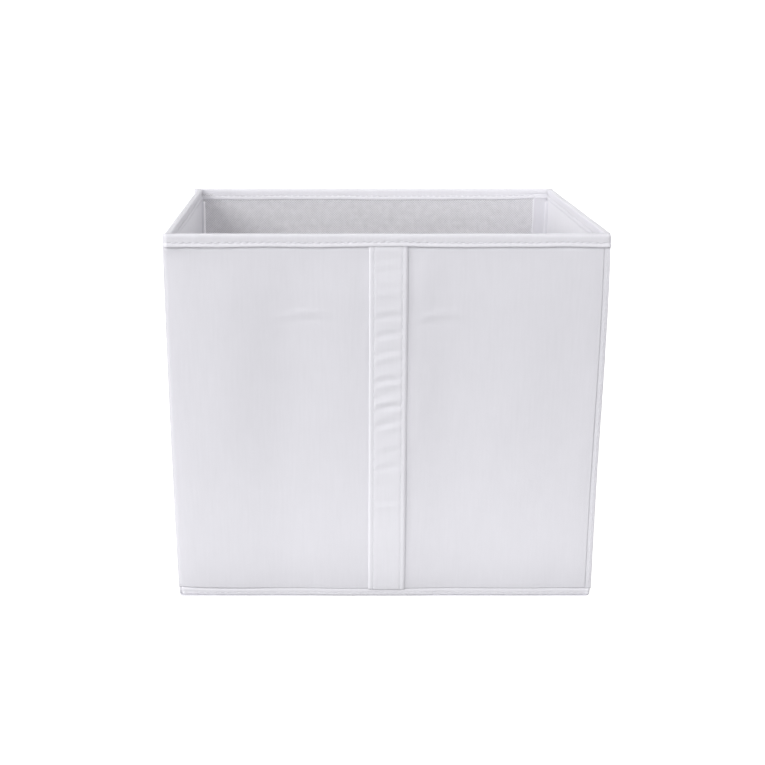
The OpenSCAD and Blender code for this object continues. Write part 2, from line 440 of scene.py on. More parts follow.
WHITE = (0.652, 0.645, 0.687)
cloth_mat = woven("white_cloth", WHITE)
tape_mat = woven("binding_tape", (0.692, 0.685, 0.727), thread=0.35, weave=0.6)
hem_mat = woven("hem_cloth", (0.715, 0.707, 0.750))
# The back rim's tape is the binding tape painted lighter: painted light, for the light its inner face
# catches
back_tape_painted_light_mat = woven("back_binding_tape_painted_light", (0.795, 0.787, 0.828), thread=0.35, weave=0.6)
strap_mat = woven("strap_cloth", (0.675, 0.669, 0.710))
# A lighter copy of the side lining's tape, for the back-left corner bead: a painted highlight
bead_painted_highlight_mat = woven("corner_bead_painted_highlight", (0.965, 0.957, 0.985), thread=0.38, weave=0.35)
side_mat = woven("side_lining_cloth", (0.755, 0.747, 0.787), thread=0.38, weave=0.35)
lining_mat = nonwoven("embossed_lining", (0.900, 0.890, 0.925))
thread_mat = thread_material("white_thread", (0.70, 0.695, 0.735))
BOARD = (0.42, 0.33, 0.23)
board_mat = cardboard("stiffening_board", BOARD)


# ---- shapes of the walls' cloth ----

def blend_points(x, *points):
    """A smooth curve through (x, height) points, level at each of them."""
    height = points[0][1] + 0 * np.asarray(x, float)
    for (x0, h0), (x1, h1) in zip(points, points[1:]):
        height += (h1 - h0) * smooth((x - x0) / (x1 - x0))
    return height


def to_ends(name, u):
    """Distance to the nearer end of a wall's cloth."""
    corner = 0.0 if name in CREASE_U else EDGE_T
    return np.minimum(u - corner, walls[name].length - corner - u)


def edge_dip(name, u, z, dip, reach):
    """How far the cloth sinks to the seams at its ends and at its foot."""
    sides = np.clip(1 - to_ends(name, u) / reach, 0, 1) ** 2
    foot = np.clip(1 - (z - HEM_Z) / reach, 0, 1) ** 2
    return dip * np.maximum(sides, 0.5 * foot)


def front_relief(u, z):
    """Hills, hollows and creases of the front cloth, in mm above the flat."""
    x = u - MID_U
    high = smooth((z - 60) / 120)
    relief = blend_points(x, (-160, 0.0), (-118, 1.9), (-78, 0.9), (-30, 2.1), (-14, 2.1))
    relief += blend_points(x, (14, 0.0), (50, -1.6), (110, -0.9), (158, -1.9))
    relief *= 0.55 + 0.45 * high
    relief += 0.50 * ripples(u, 0.7 * z, 3, 120) + 0.13 * ripples(u, z, 4, 42)
    relief += 0.35 * bump(x, -66, 40) * bump(z, 45, 60)
    return relief


def front_creases(u, z):
    """An arched crease below the rim on each side of the strap, and the pulls up its edges."""
    x = u - MID_U
    relief = 0.0 * x
    for cx, cz, half, tilt in ((-64, 233, 27, 0.06), (40, 232, 25, 0.09)):
        line = cz + 3.5 * (1 - ((x - cx) / half) ** 2) + tilt * (x - cx)
        near = bump(x, cx, half + 4)
        relief += near * (0.85 * np.exp(-((z - line - 1.2) / 2.2) ** 2)
                                  - 0.70 * np.exp(-((z - line + 1.9) / 1.7) ** 2))
    beside = bump(np.abs(x), STRAP_HALF + 4, 9)
    return relief - 0.35 * beside * smooth((z - 180) / 100) * (1 - smooth((z - BINDING_Z + 6) / 6))


def corner_fall(u):
    """How far the front cloth rounds back: right round the left seam, and up to the right one."""
    left = np.maximum(u, 0.0)
    right = WIDTH - EDGE_T - u
    fall = 2.9 * np.exp(-left / 13.0) + 0.35 * np.exp(-left / 4.0)
    fall = np.minimum(fall + 1.0 * np.clip(1 - left / 3.4, 0, 1) ** 3, 3.85)
    return fall + 0.18 * np.exp(-np.maximum(right, 0) / 2.5)


def outer_e(name, u, z):
    """Depth of the outer cloth's face of a wall."""
    under_rim = smooth((z - BINDING_Z + 9) / 9)
    puckers = 0.07 * np.sin(u / 2.9 + 1.5 * ripples(u, 0 * u, 9, 60)) * under_rim
    near_edge = smooth(to_ends(name, u) / 12)
    if name == "front":
        relief = front_relief(u, z)
        calm = 1 - smooth((z - BINDING_Z + 42) / 42)
        dip = corner_fall(u)
        dip -= np.minimum(dip, 2.0) * 0.7 * under_rim
        dip += 0.12 * np.clip(1 - (z - HEM_Z) / 5, 0, 1) ** 2
        dip += 0.45 * np.exp(-((z - BINDING_Z + 0.3) / 1.6) ** 2)
        return CLOTH_E + dip - (relief * calm + front_creases(u, z) + puckers) * near_edge
    seed = 9 + ORDER[name]
    relief = 0.38 * ripples(u, z, seed, 110) + 0.10 * ripples(u, z, seed + 20, 38)
    calm = (1 - under_rim) * smooth((z - HEM_Z) / 14)
    dip = edge_dip(name, u, z, 0.4, 6) * (1 - under_rim)
    if name in CREASE_U:
        dip += 0.7 * np.exp(-((u - CREASE_U[name]) / 2.2) ** 2) * (1 - under_rim)
        near_edge = near_edge * smooth(np.abs(u - CREASE_U[name]) / 16)
    return CLOTH_E + dip - relief * calm * near_edge - puckers * near_edge


def inner_e(name, u, z):
    """Depth of the lining's face of a wall."""
    dip = edge_dip(name, u, z, 0.7, 7.0)
    seed = 30 + ORDER[name]
    relief = 0.22 * ripples(u, z, seed, 80) + 0.06 * ripples(u, z, seed + 20, 30)
    near_edge = smooth(to_ends(name, u) / 18)
    if name in CREASE_U:
        dip += 0.5 * np.exp(-((u - CREASE_U[name]) / 2.0) ** 2)
        near_edge = near_edge * smooth(np.abs(u - CREASE_U[name]) / 16)
    calm = 1 - smooth((z - BINDING_Z + 14) / 14)
    return LINING_E - dip * calm + relief * calm * near_edge


CLOTH_TOP = TOP_Z - 1.6
SHEET = 0.5                     # thickness of the cloths


def wall_cloths(name):
    """The outer cloth, the boards and the lining of one wall."""
    wall = walls[name]
    ends = (0.0, wall.length) if name in CREASE_U else (EDGE_T, wall.length - EDGE_T)
    u = spaced(*ends, 3.2)
    if name == "front":         # the cloth wraps the left corner in one piece
        u = np.r_[0.12, 0.3, 0.55, 0.9, 1.3, 1.8, 2.4, 3.1, 3.9, u]
    if name in CREASE_U:
        beside = np.arange(1, 7)
        u = np.r_[creased(u, CREASE_U[name]), CREASE_U[name] - beside, CREASE_U[name] + beside]
        u = np.unique(np.round(u, 4))
    z = spaced(HEM_Z - 0.1, CLOTH_TOP, 3.2)
    z = np.union1d(z, BINDING_Z + np.array([-3.9, -2.9, -2.1, -1.3, -0.6, 0.0, 0.8, 2.0]))
    uu, zz = grid(u, z)
    outer = outer_e(name, uu, zz)
    inner = np.maximum(inner_e(name, uu, zz), outer + 2 * SHEET + 0.05)
    lining_look = side_mat if name in CREASE_U else lining_mat
    return (slab(f"{name}_cloth", wall, u, z, outer, outer + SHEET, cloth_mat),
            slab(f"{name}_lining_cloth", wall, u, z, inner - SHEET, inner, lining_look))


def stiffener(name, wall_name, u0, u1):
    wall = walls[wall_name]
    curve = 10.0 if wall_name == "front" else 0.0       # clear of the front cloth's rounded corner
    u = np.linspace(u0 + MARGIN + curve, u1 - MARGIN, 24)
    z = np.linspace(HEM_Z + MARGIN, CLOTH_TOP - MARGIN, 24)
    uu, zz = grid(u, z)
    face = np.maximum(outer_e(wall_name, uu, zz) + SHEET + 0.1, BOARD_E + 0.3)
    return slab(name, wall, u, z, face, np.maximum(face + 0.4, BOARD_IN_E - 0.3), board_mat)


# ---- rim binding ----

TAPE = 0.75                     # thickness of one leg of the tape
STRAP_T = 1.0                   # thickness of the folded strap
BACK_LEAN = 0.8                 # how far the back rim's inner face leans back at its top


def strap_lift(distance):
    """1 where the front binding lies over the strap, 0 away from it."""
    return 0.6 * smooth((STRAP_HALF + 16 - abs(distance - MID_U)) / 22.0)


def rim_low(name, s):
    """Height of the binding's lower edge on the outside."""
    seed = 40 + ORDER[name]
    low = BINDING_Z + 0.25 * ripples(s, 0 * s, seed, 55)
    if name == "front":
        low += 0.6 * strap_lift(s) - 0.45 * bump(s, MID_U - 140, 55)
    return low


def rim_low_inside(name, s):
    """Height of the binding's lower edge on the inside."""
    low = rim_low(name, s) + 0.2 * ripples(s, 3 + 0 * s, 47, 40)
    if name == "back":          # it rides up over the turned cloth at its right end
        low += 0.9 * smooth((60 - s) / 40)
    if name in CREASE_U:
        low += 0.5 * ripples(s, 8 + 0 * s, 48, 30)
    return low


ROUND_CROWN = [(0.26, 4.3), (0.20, 3.3), (0.18, 2.5), (0.23, 1.8), (0.42, 1.1), (0.82, 0.48), (1.5, 0.10)]
SQUARE_CROWN = [(0.16, 4.3), (0.06, 3.2), (0.0, 2.0), (0.0, 1.0), (0.10, 0.42), (0.40, 0.10), (1.2, 0.02)]


def leg_points(low, s, puff, thin, roll, tape, crown, lean=0.0):
    """One leg of the folded tape, from its turned-in lower edge up to the crown."""
    hole = 0.06 + 0.50 * (0.5 + 0.5 * math.cos(math.tau * s / STITCH_PITCH)) ** 6
    stitch = low + RIM_STITCH_Z - BINDING_Z
    shape = [
        (tape, low + 0.15), (0.45, low - 0.10), (0.06, low + 0.00),
        (-roll * 0.75 - puff, low + 0.35), (-roll - puff, low + 0.85), (-roll * 0.9 - puff, low + 1.4),
        (-roll * 0.4 - puff * 0.5, low + 2.1), (0.22, low + 2.85), (0.36 + hole, stitch - 0.15),
        (0.36 + hole, stitch + 0.15), (0.38, stitch + 0.55), (0.34 - puff * 0.4, stitch + 1.2)]
    shape += [(e - puff * 0.4 * (drop > 2), TOP_Z - drop) for e, drop in crown]
    shape = np.array(shape)
    above = stitch + 1.25 + 0.15 * np.arange(len(crown))
    shape[-len(crown):, 1] = np.minimum(np.maximum(shape[-len(crown):, 1], above), TOP_Z - 0.02)
    shape[:, 0] += thin + lean * np.clip(shape[:, 1] - low - 1, 0, 9) / 9
    return shape


def binding_profile(name):
    """The tape's ring at a distance along the rim: outer leg, rounded top, inner leg."""
    seed = 50 + ORDER[name]
    thin, roll = (0.14, 0.26) if name in CREASE_U else (0.0, 0.46)
    roll_in = 0.40 if name == "back" else 0.26
    length = walls[name].length

    def ring(s):
        # The tape is folded into a solid wad round a corner
        wad = smooth((9 - min(s, length - s)) / 3) if name not in CREASE_U else 0.0
        tape = TAPE + (2.3 - TAPE) * wad
        puff = 0.12 * ripples(s, 0.0, seed, 26)
        puff_in = 0.10 * ripples(s, 9.0, seed, 22)
        crown = ROUND_CROWN if name == "front" else SQUARE_CROWN
        leg = leg_points(rim_low(name, s), s, puff, thin, roll, tape, crown)
        lean = BACK_LEAN if name == "back" else 0.0
        inner = leg_points(rim_low_inside(name, s), s, puff_in, max(thin, 0.05), roll_in, tape,
                           SQUARE_CROWN, lean)[::-1]
        inner[:, 0] = EDGE_T - inner[:, 0]
        top = np.array([(EDGE_T / 2, TOP_Z)])
        roof = TOP_Z - 1.0 - (TOP_Z - BINDING_Z - 2.0) * wad
        under = np.array([(EDGE_T - tape, roof), (EDGE_T / 2, roof + 0.2), (tape, roof)])
        if name == "front":
            lift = STRAP_T * 0.5 * strap_lift(s)
            leg[:, 0] -= lift * smooth((TOP_Z + 0.5 - leg[:, 1]) / 4.5)
        points = np.concatenate([leg, top, inner, under])
        points[:, 1] += 0.14 * ripples(s, 5.0, seed + 9, 70)
        return points
    return ring


# ---- hems ----

def hem_profile(name):
    """The flat-stitched seam at the foot of a wall."""
    seed = 60 + ORDER[name]

    def ring(s):
        puff = 0.10 * ripples(s, 0.0, seed, 45)
        low, high = HEM_LOW + 0.03, HEM_Z + 0.05
        deep = 0.30
        if name == "front":     # the line above the hem opens towards both corners
            deep = 0.06 + 0.75 * smooth((95 - s) / 45) + 0.55 * smooth((s - WIDTH + 30) / 22)
        high = high - 0.7 * max(deep - 0.22, 0)
        side = np.array([
            (2.0, low), (1.45, low + 0.12), (1.1, low + 0.5), (0.93 - puff, low + 1.2),
            (0.92 - puff, low + 1.9), (1.02, low + 2.35), (1.02, low + 2.6), (0.86 - puff, low + 3.2),
            (0.78 - puff, low + 4.4), (0.90, high - 0.70), (1.0 + 0.5 * deep, high - 0.22),
            (1.1 + deep, high)])
        inner = side[::-1].copy()
        inner[:, 0] = EDGE_T - inner[:, 0]
        if name not in CREASE_U:    # it comes out flush with the corner seams
            if name == "back":
                side[:, 0] -= 0.8 * smooth((EDGE_T - s) / 3)
            side[:, 0] -= 0.8 * smooth((s - WIDTH + EDGE_T) / 3)
        if name == "front":     # the cloth above hangs over the front hem a little
            proud = outer_e("front", np.clip(s, EDGE_T, WIDTH - EDGE_T), HEM_Z + 1.5)
            side[:, 0] += np.clip(proud - 0.70 + 0.25 * (deep - 0.22), -2.4, 1.2)
        return np.concatenate([side, inner])
    return ring


# ---- corner seams, hinges, facings ----

def corner_ridge(name, wall_name, at_start, face, soft):
    """The edge-stitched seam that stands up an outer corner. face is the depth of its face;
    a soft one rounds off to the side instead of ending in an edge."""
    wall = walls[wall_name]
    heights = spaced(HEM_Z - 0.6, BINDING_Z + 6, 1.8, fine=1.0)
    turn = np.linspace(math.pi / 2, 0, 12)
    power, wide, deep = (0.85, 4.2, 1.1) if soft else (0.6, 1.9, 1.3)
    out_u = wide * (1 - np.cos(turn) ** power)
    out_e = face + deep * (1 - np.sin(turn) ** power)
    back = EDGE_T - 0.15
    if soft:                    # it fills the corner behind the cloth that wraps it
        out_e = np.minimum(CLOTH_E + corner_fall(out_u) + 0.3, back - 0.1)
        face, deep = out_e[0], out_e[-1] - out_e[0]
    u = np.r_[EDGE_T + np.array([0.5, 0.1, -0.25, -0.6]), out_u,
              0.0, 0.05, 0.5, 1.2, EDGE_T / 2, EDGE_T - 0.3, EDGE_T]
    e = np.r_[face + np.array([0.26, 0.10, 0.03, 0]), out_e,
              (face + deep + back) / 2, back - np.array([0.05, 0.02, 0, 0, 0, 0.4])]
    rings = []
    for z in heights:
        swell = 0.0 if soft else 0.05 * math.sin(z / 3.1) + 0.08 * ripples(z, 0.0, 70, 30)
        dimple = 0.14 * np.exp(-((u - 2.4) / 0.5) ** 2) * (e < (face + back) / 2)
        ring_u = u - swell * (1 - u / EDGE_T)
        ring_e = e + dimple - swell * 0.6 * (e < face + 0.4)
        if wall_name == "front" and not soft:       # near the rim it is level with the cloth
            level = outer_e("front", wall.length - EDGE_T - 0.2, z) + 0.04
            flush = smooth((z - BINDING_Z + 75) / 60) * (e < face + 0.4)
            ring_e = ring_e + flush * (level - e)
        rings.append(wall.place(ring_u if at_start else wall.length - ring_u, ring_e, z))
    rings = np.array(rings)
    return sweep(name, rings[:, ::-1] if at_start else rings, heights, cloth_mat)


def corner_hinge(name, wall_name, gap_u, far_u, reach):
    """Cloth in the gap between a corner and the side wall beside it. gap_u and far_u are the
    gap's ends along the side wall; it reaches on into the corner."""
    wall = walls[wall_name]
    away = math.copysign(1.0, far_u - gap_u)
    u = np.r_[gap_u - away * np.array([2.6, 1.9, 1.3, 0.8, 0.4]), np.linspace(gap_u, far_u, 9),
              far_u + away * reach * np.array([0.15, 0.3, 0.5, 0.75, 1.0])]
    z = np.r_[spaced(HEM_LOW + 0.1, BINDING_Z, 6.0, fine=3.0), BINDING_Z + 3, TOP_Z - 1.6, TOP_Z - 0.5]
    if away < 0:
        u = u[::-1]
    top = smooth((z - (TOP_Z - 2.0)) / 2.0)[None, :]
    bead = np.exp(-((u - (gap_u + far_u) / 2) / 1.2) ** 2)[:, None]
    foot = smooth((z - HEM_Z) / 3)[None, :]
    outer = 0.75 + 0.9 * top + 0.25 * bead
    inner = EDGE_T - 0.75 - 1.2 * top + 1.6 * bead * (1 - smooth((z - BINDING_Z + 2) / 2))[None, :] * foot
    return slab(name, wall, u, z, outer, inner, cloth_mat)


def facing_strip(name, wall_name, at_start, thickness, material):
    """The cloth turned onto a front or back wall's lining, its free edge folded under."""
    wall = walls[wall_name]
    w = np.array([0, 1.5, 3, 5, 7, 9, 10.5, 11.8, 12.6, 13.2, 13.6, 13.9, FACING_W])
    puffs = np.array([0.30, 0.34, 0.38, 0.42, 0.45, 0.50, 0.56, 0.62, 0.68, 0.66, 0.52, 0.30, 0.02])
    u = EDGE_T - 0.1 + w if at_start else wall.length - EDGE_T + 0.1 - w[::-1]
    puff = puffs if at_start else puffs[::-1]
    z = spaced(HEM_Z, BINDING_Z + 5, 4.0, fine=2.0)
    uu, zz = grid(u, z)
    wavy = 1 + 0.12 * ripples(zz, uu * 0.2, 81 if at_start else 82, 40)
    face = LINING_E + 0.08 + thickness * puff[:, None] * wavy
    return slab(name, wall, u, z, LINING_E - 0.35, face, material)


def corner_bead(name, wall_name, at_start):
    """The seam allowance up an inner corner, bound as a thin bead; the back-left one is a lighter copy, a
    painted highlight.
    """
    wall = walls[wall_name]
    # light marks the back-left bead, which takes the lighter copy of the tape: a painted highlight
    light = (wall_name, at_start) == ("back", False)
    size, proud = (1.1, 0.10) if light else (0.85, -0.05)
    turn = np.linspace(0, math.tau, 12, endpoint=False)
    heights = spaced(HEM_Z + 5, BINDING_Z - 2, 2.5, fine=1.5)
    rings = []
    for z in heights:
        thick = size + 0.10 * math.sin(z / 2.7) + 0.08 * ripples(z, 0.0, 97, 25)
        u = EDGE_T + 0.85 + proud + thick * np.cos(turn)
        e = LINING_E + 0.35 + proud + thick * np.sin(turn)
        stands_with = "side" if wall_name == "back" else "front"
        rings.append(wall.place(u if at_start else wall.length - u, e, z, stands_with))
    rings = np.array(rings)
    return sweep(name, rings if at_start else rings[:, ::-1], heights, bead_painted_highlight_mat if light else side_mat)


# ---- pull strap ----

STITCH_IN = 4.0                 # from the strap's edge to its row of stitches
STRAP_TOP = BINDING_Z + 5.4     # its end is sewn in under the binding


def strap_share(z):
    """0 at the strap's foot, 1 at the rim."""
    return np.clip((z - STRAP_Z0) / (BINDING_Z - STRAP_Z0), 0, 1)


def strap_under(x, z):
    """Depth of the strap's underside: it lies on the cloth and bows away from it half-way."""
    return outer_e("front", MID_U + 0 * x, z) - 0.15 * np.sin(math.pi * strap_share(z)) - 0.02


def strap_face_e(x, z):
    """Depth of the strap's face at x from its middle."""
    half = STRAP_HALF - STITCH_IN
    between = np.clip(1 - (x / half) ** 2, 0, 1) ** 0.6
    level = z - (0.13 + 0.10 * ripples(z, 0 * x, 94, 70) - 0.006 * x) * x
    pucker = np.sin(math.tau * level / 12.6 + 2.4 * ripples(z, 0.5 * x, 91, 60))
    pucker += 0.35 * np.sin(math.tau * level / 7.3 + 2.0)
    strength = blend_points(strap_share(z), (0.08, 0), (0.40, 0.5), (0.62, 0.95), (0.84, 0.6), (0.97, 0.1))
    strength = 0.04 + 0.36 * strength
    strength *= 0.8 + 0.6 * ripples(z, 0.4 * x, 93, 40)
    fold = ripples(z, 0.3 * x, 92, 28)
    line = np.exp(-((np.abs(x) - half) / 0.55) ** 2)
    edge = smooth((STRAP_HALF - np.abs(x)) / 1.7)
    face = STRAP_T + between * (strength * pucker + 0.12 * fold)
    return strap_under(x, z) - face + 0.20 * line + 0.75 * (1 - edge) ** 2


def make_strap():
    half = STRAP_HALF
    edge = half - np.array([0, 0.12, 0.35, 0.7, 1.2, 2.0, 2.9, 3.4, 3.8, 4.0, 4.2, 4.6, 5.3])
    middle = np.linspace(-(half - 6.4), half - 6.4, 19)
    x = np.r_[-edge, middle, edge[::-1]]
    z = np.r_[STRAP_Z0 + np.array([0, 0.12, 0.35, 0.75, 1.3]),
              np.arange(STRAP_Z0 + 2.2, STRAP_TOP, 1.15)]
    xx, zz = grid(x, z)
    foot = smooth((zz - STRAP_Z0) / 1.2)
    face = strap_face_e(xx, zz) + 0.85 * (1 - foot) ** 2
    tuck = 0.75 * smooth((zz - BINDING_Z + 1) / 4)
    under = strap_under(xx, zz)
    return slab("pull_strap", walls["front"], x + MID_U, z, face + tuck, under + tuck, strap_mat)


# ---- stitches ----

def one_stitch(length, radius):
    """Points and faces of a stitch along its own x, z up from the cloth, ends sunk in it."""
    along = np.linspace(-1, 1, 7)
    turn = np.linspace(0, math.tau, 8, endpoint=False)
    width = radius * np.sqrt(np.clip(1 - (np.abs(along) ** 3) * 0.86, 0, 1))
    height = radius * 0.55 - radius * 1.7 * np.abs(along) ** 4
    points = [(a * length / 2, w * math.cos(t), h + 0.8 * w * math.sin(t))
              for a, w, h in zip(along, width, height) for t in turn]
    return np.array(points), [face[::-1] for face in tube_faces(7, 8)]


def unit(vectors):
    return vectors / np.linalg.norm(vectors, axis=1)[:, None]


def stitches(name, rows, length=4.5, radius=0.30):
    """One piece of all the stitches in rows, each a (centres, directions, normals) triple."""
    centres, ahead, normals = (np.concatenate([r[i] for r in rows]) for i in range(3))
    shape, one = one_stitch(length, radius)
    ahead = unit(ahead)
    normals = unit(normals - ahead * np.sum(normals * ahead, axis=1)[:, None])
    axes = np.stack([ahead, np.cross(normals, ahead), normals], 1)
    points = centres[:, None] + shape @ axes
    count = len(shape)
    faces = [[v + i * count for v in f] for i in range(len(centres)) for f in one]
    cloth = np.tile(shape, (len(centres), 1))
    cloth[:, 0] += np.repeat(np.arange(len(centres)) * 7.3, count)
    return make_piece(name, points.reshape(-1, 3), faces, cloth, thread_mat)


def stitch_places(start, end, pitch=STITCH_PITCH):
    count = max(int((end - start) / pitch), 1)
    offset = (end - start - count * pitch) / 2
    return start + offset + (np.arange(count) + 0.5) * pitch


def row_along(wall, u, e, z, face, du=0.5, dz=0.0):
    """A row of stitches on a wall. face is 1 on the outside and -1 on the inside."""
    ahead = wall.place(u + du, e, z + dz) - wall.place(u - du, e, z - dz)
    return wall.place(u, e, z), ahead, np.tile(wall.out * face, (len(ahead), 1))


def row_up(wall, u, e, z):
    """A row up the outside of a wall at the given heights."""
    return row_along(wall, u, e, z, 1, du=0.0, dz=0.5)


def rim_rows(name, start, end):
    """The rim's row on the outside and on the inside of a wall, between two places."""
    wall = walls[name]
    first = math.ceil(start / STITCH_PITCH) + 0.5
    u = np.arange(first * STITCH_PITCH, end - 0.45 * STITCH_PITCH, STITCH_PITCH)
    z = rim_low(name, u) + RIM_STITCH_Z - BINDING_Z
    z_in = rim_low_inside(name, u) + RIM_STITCH_Z - BINDING_Z
    thin = 0.14 if name in CREASE_U else 0.0
    lean = BACK_LEAN * 2.5 / 9 if name == "back" else 0.0
    lift = STRAP_T * 0.5 * strap_lift(u) if name == "front" else 0.0
    return [row_along(wall, u, thin + 0.36 - lift, z, 1),
            row_along(wall, u, EDGE_T - max(thin, 0.05) - lean - 0.36, z_in, -1)]


def hem_rows(name, start, end):
    wall = walls[name]
    u = stitch_places(start, end)
    z = HEM_LOW + 2.48
    face = outer_e("front", u, HEM_Z + 1.5) + 0.28 if name == "front" else 1.0
    return [row_along(wall, u, face, z, 1), row_along(wall, u, EDGE_T - 1.0, z, -1)]


# ---- the front and back walls ----

def finish_piece(piece, body, slot, *nodes):
    """The piece rides on a body and stands for CAD nodes."""
    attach(piece, body)
    if nodes:
        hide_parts(*nodes)
    return piece


def bend_piece(piece, side, part):
    """The piece's place is baked into its mesh, and it stands for a part of each half of a side wall."""
    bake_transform(piece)
    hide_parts(f"{side}_rear_{part}", f"{side}_front_{part}")


UPRIGHT = stitch_places(HEM_Z + 2, BINDING_Z - 1)

for name in ("front", "back"):
    body = f"{name}_wall"
    wall = walls[name]
    sides = ("left", "right") if name == "front" else ("right", "left")
    cloth, lining = wall_cloths(name)
    finish_piece(cloth, body, "outer_fabric", f"{name}_outer_fabric")
    finish_piece(lining, body, "lining", f"{name}_lining")
    board = stiffener(f"{name}_stiffener", name, EDGE_T, wall.length - EDGE_T)
    finish_piece(board, body, "board", f"{name}_board")
    sharp = (2.1, 4.5) if name == "front" else (4.0, 4.0)
    # The back rim takes the lighter copy of the tape, which is painted light
    tape_look = tape_mat if name == "front" else back_tape_painted_light_mat
    stations = bar_stations(wall, 0.75, squareness=sharp)
    rim = bar(f"{name}_binding", wall, stations, binding_profile(name), tape_look)
    finish_piece(rim, body, "binding", f"{name}_rim_binding")
    stations = bar_stations(wall, 3.0, squareness=(2.0, 3.2))
    hem = bar(f"{name}_hem", wall, stations, hem_profile(name), hem_mat)
    finish_piece(hem, body, "outer_fabric", f"{name}_bottom_seam")
    rows = rim_rows(name, EDGE_T - 2, wall.length - EDGE_T + 2)
    rows += hem_rows(name, EDGE_T, wall.length - EDGE_T)
    for side, at_start in zip(sides, (True, False)):
        soft = (name, side) == ("front", "left")
        face = 3.3 if soft else 1.12
        ridge = corner_ridge(f"{name}_{side}_ridge", name, at_start, face, soft)
        finish_piece(ridge, body, "outer_fabric", f"{name}_{side}_corner_seam")
        # On the left the turned strip is the lining's own cloth, and on the right the side's
        own = side == "left"
        thick, look, slot = (0.3, lining_mat, "lining") if own else (1.0, side_mat, "side_lining")
        strip = facing_strip(f"{name}_{side}_turned_cloth", name, at_start, thick, look)
        finish_piece(strip, body, slot, f"{name}_{side}_facing")
        finish_piece(corner_bead(f"{name}_{side}_inner_bead", name, at_start), body, "side_lining")
        u = EDGE_T / 2 if at_start else wall.length - EDGE_T / 2
        if not soft:            # the front cloth hides the seam it wraps
            rows.append(row_up(wall, u, face + 0.12, UPRIGHT))
    if name == "front":
        strap = finish_piece(make_strap(), body, "strap", "handle_strap")
        heights = stitch_places(STRAP_Z0 + 2, BINDING_Z, 4.4)
        fine = [row_up(wall, MID_U + x, strap_face_e(x, heights) + 0.10, heights)
                for x in (STITCH_IN - STRAP_HALF, STRAP_HALF - STITCH_IN)]
        finish_piece(stitches("strap_stitches", fine, length=3.6, radius=0.24), body, "thread")
    finish_piece(stitches(f"{name}_stitches", rows), body, "thread", f"{name}_stitching")


# ---- the side walls ----

for name in ("left", "right"):
    wall = walls[name]
    crease = CREASE_U[name]
    halves = [f"{name}_rear", f"{name}_front"]
    cloth, lining = wall_cloths(name)
    bend_piece(cloth, name, "outer_fabric")
    bend_piece(lining, name, "lining")
    stations = bar_stations(wall, 0.75, crease)
    rim = bar(f"{name}_binding", wall, stations, binding_profile(name), tape_mat)
    bend_piece(rim, name, "rim_binding")
    hem = bar(f"{name}_hem", wall, bar_stations(wall, 3.0, crease), hem_profile(name), hem_mat)
    bend_piece(hem, name, "bottom_seam")
    along = halves if name == "left" else halves[::-1]
    for half, start, end, mark in ((along[0], 0, crease - CREASE_HALF, -1),
                                   (along[1], crease + CREASE_HALF, wall.length, 1)):
        board = stiffener(f"{half}_stiffener", name, start, end)
        finish_piece(board, f"{half}_half", "board", f"{half}_board")
        rows = rim_rows(name, start, end) + hem_rows(name, start + 1, end - 1)
        u = crease + 3.2 * mark
        rows.append(row_up(wall, u, outer_e(name, u, UPRIGHT) + 0.05, UPRIGHT))
        finish_piece(stitches(f"{half}_stitches", rows), f"{half}_half", "thread", f"{half}_stitching")

    # The gap at each end of a side wall, and the corner's body there
    gap = BACK_Y - EDGE_T - SIDE_REAR_Y
    for end, body, y, way in (("rear", "back_wall", SIDE_REAR_Y, gap),
                              ("front", "front_wall", SIDE_FRONT_Y, -gap)):
        at_start = (end == "rear") == (name == "left")
        near_u, far_u = (0.0, -gap) if at_start else (wall.length, wall.length + gap)
        reach = 0.2 if (end, name) == ("front", "left") else 2.0
        hinge = corner_hinge(f"{end}_{name}_hinge_cloth", name, near_u, far_u, reach)
        if (end, name) == ("front", "right"):
            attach(hinge, "right_front_half")
        else:
            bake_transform(hinge)


# ---- bottom cloth ----

def make_bottom():
    low, high = box_mm("bottom_fabric")
    x = spaced(low[0] + 0.3, high[0] - 0.3, 7.0, fine=1.2)
    y = spaced(low[1] + 0.3, high[1] - 0.3, 7.0, fine=1.2)
    xx, yy = grid(x, y)
    inset = np.minimum.reduce([xx - low[0], high[0] - xx, yy - low[1], high[1] - yy])
    curl = 0.28 * (1 - smooth(inset / 2.0))
    radius = 4.5
    for cx, sx in ((low[0] + radius, -1), (high[0] - radius, 1)):
        for cy, sy in ((low[1] + radius, -1), (high[1] - radius, 1)):
            inside = ((xx - cx) * sx > 0) & ((yy - cy) * sy > 0)
            far = np.maximum(np.hypot(xx - cx, yy - cy), 1e-6)
            pull = np.where(inside & (far > radius), radius / far, 1.0)
            xx, yy = cx + (xx - cx) * pull, cy + (yy - cy) * pull
    near_left = smooth(1 - (xx - low[0]) / 150) * smooth(1 - (yy - low[1]) / 110)
    xx = xx + 2.3 * near_left       # the corner that leans in at its foot
    sunk = 0.05 * (1 + ripples(xx, yy, 95, 60))
    under = np.stack([xx, yy, low[2] + curl], -1)
    over = np.stack([xx, yy, high[2] - curl - 0.5 * sunk], -1)
    return closed_sheet("bottom_cloth", over, under, xx, yy, cloth_mat)


bottom = make_bottom()
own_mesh(bottom)
finish_piece(bottom, "back_wall", "outer_fabric", "bottom_fabric")


# ---- base insert ----

INSERT_LINE = 6.2               # from the insert's edge to its row of stitches
INSERT_MID, INSERT_HALF = (insert_low + insert_high) / 2, (insert_high - insert_low) / 2


